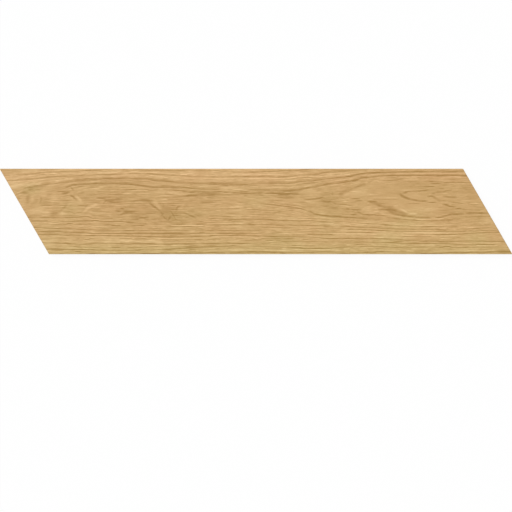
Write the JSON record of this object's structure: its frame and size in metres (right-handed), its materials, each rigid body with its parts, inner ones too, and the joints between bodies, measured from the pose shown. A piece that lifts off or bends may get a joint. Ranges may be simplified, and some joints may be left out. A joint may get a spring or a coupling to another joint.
{
  "type": "chevron wall tile",
  "caption": "Slim wood-look porcelain tile, a parallelogram with slanted ends, bevelled printed face and ribbed keying back, laid with mirrored tiles in a chevron.",
  "frame": {"origin": "middle of the back, on the plane of its rim and ribs, which is where the tile is bonded or lies", "axes": "+X along the printed grain and the long edges, +Y across the tile, +Z out of the printed face; the upper long edge, at +Y, is shifted towards -X"},
  "size_m": [0.45, 0.075, 0.009],
  "materials": {
    "oak_print_porcelain": "matte"
  },
  "bodies": {
    "root": {"chevron_tile": "oak_print_porcelain"}
  },
  "joints": []
}
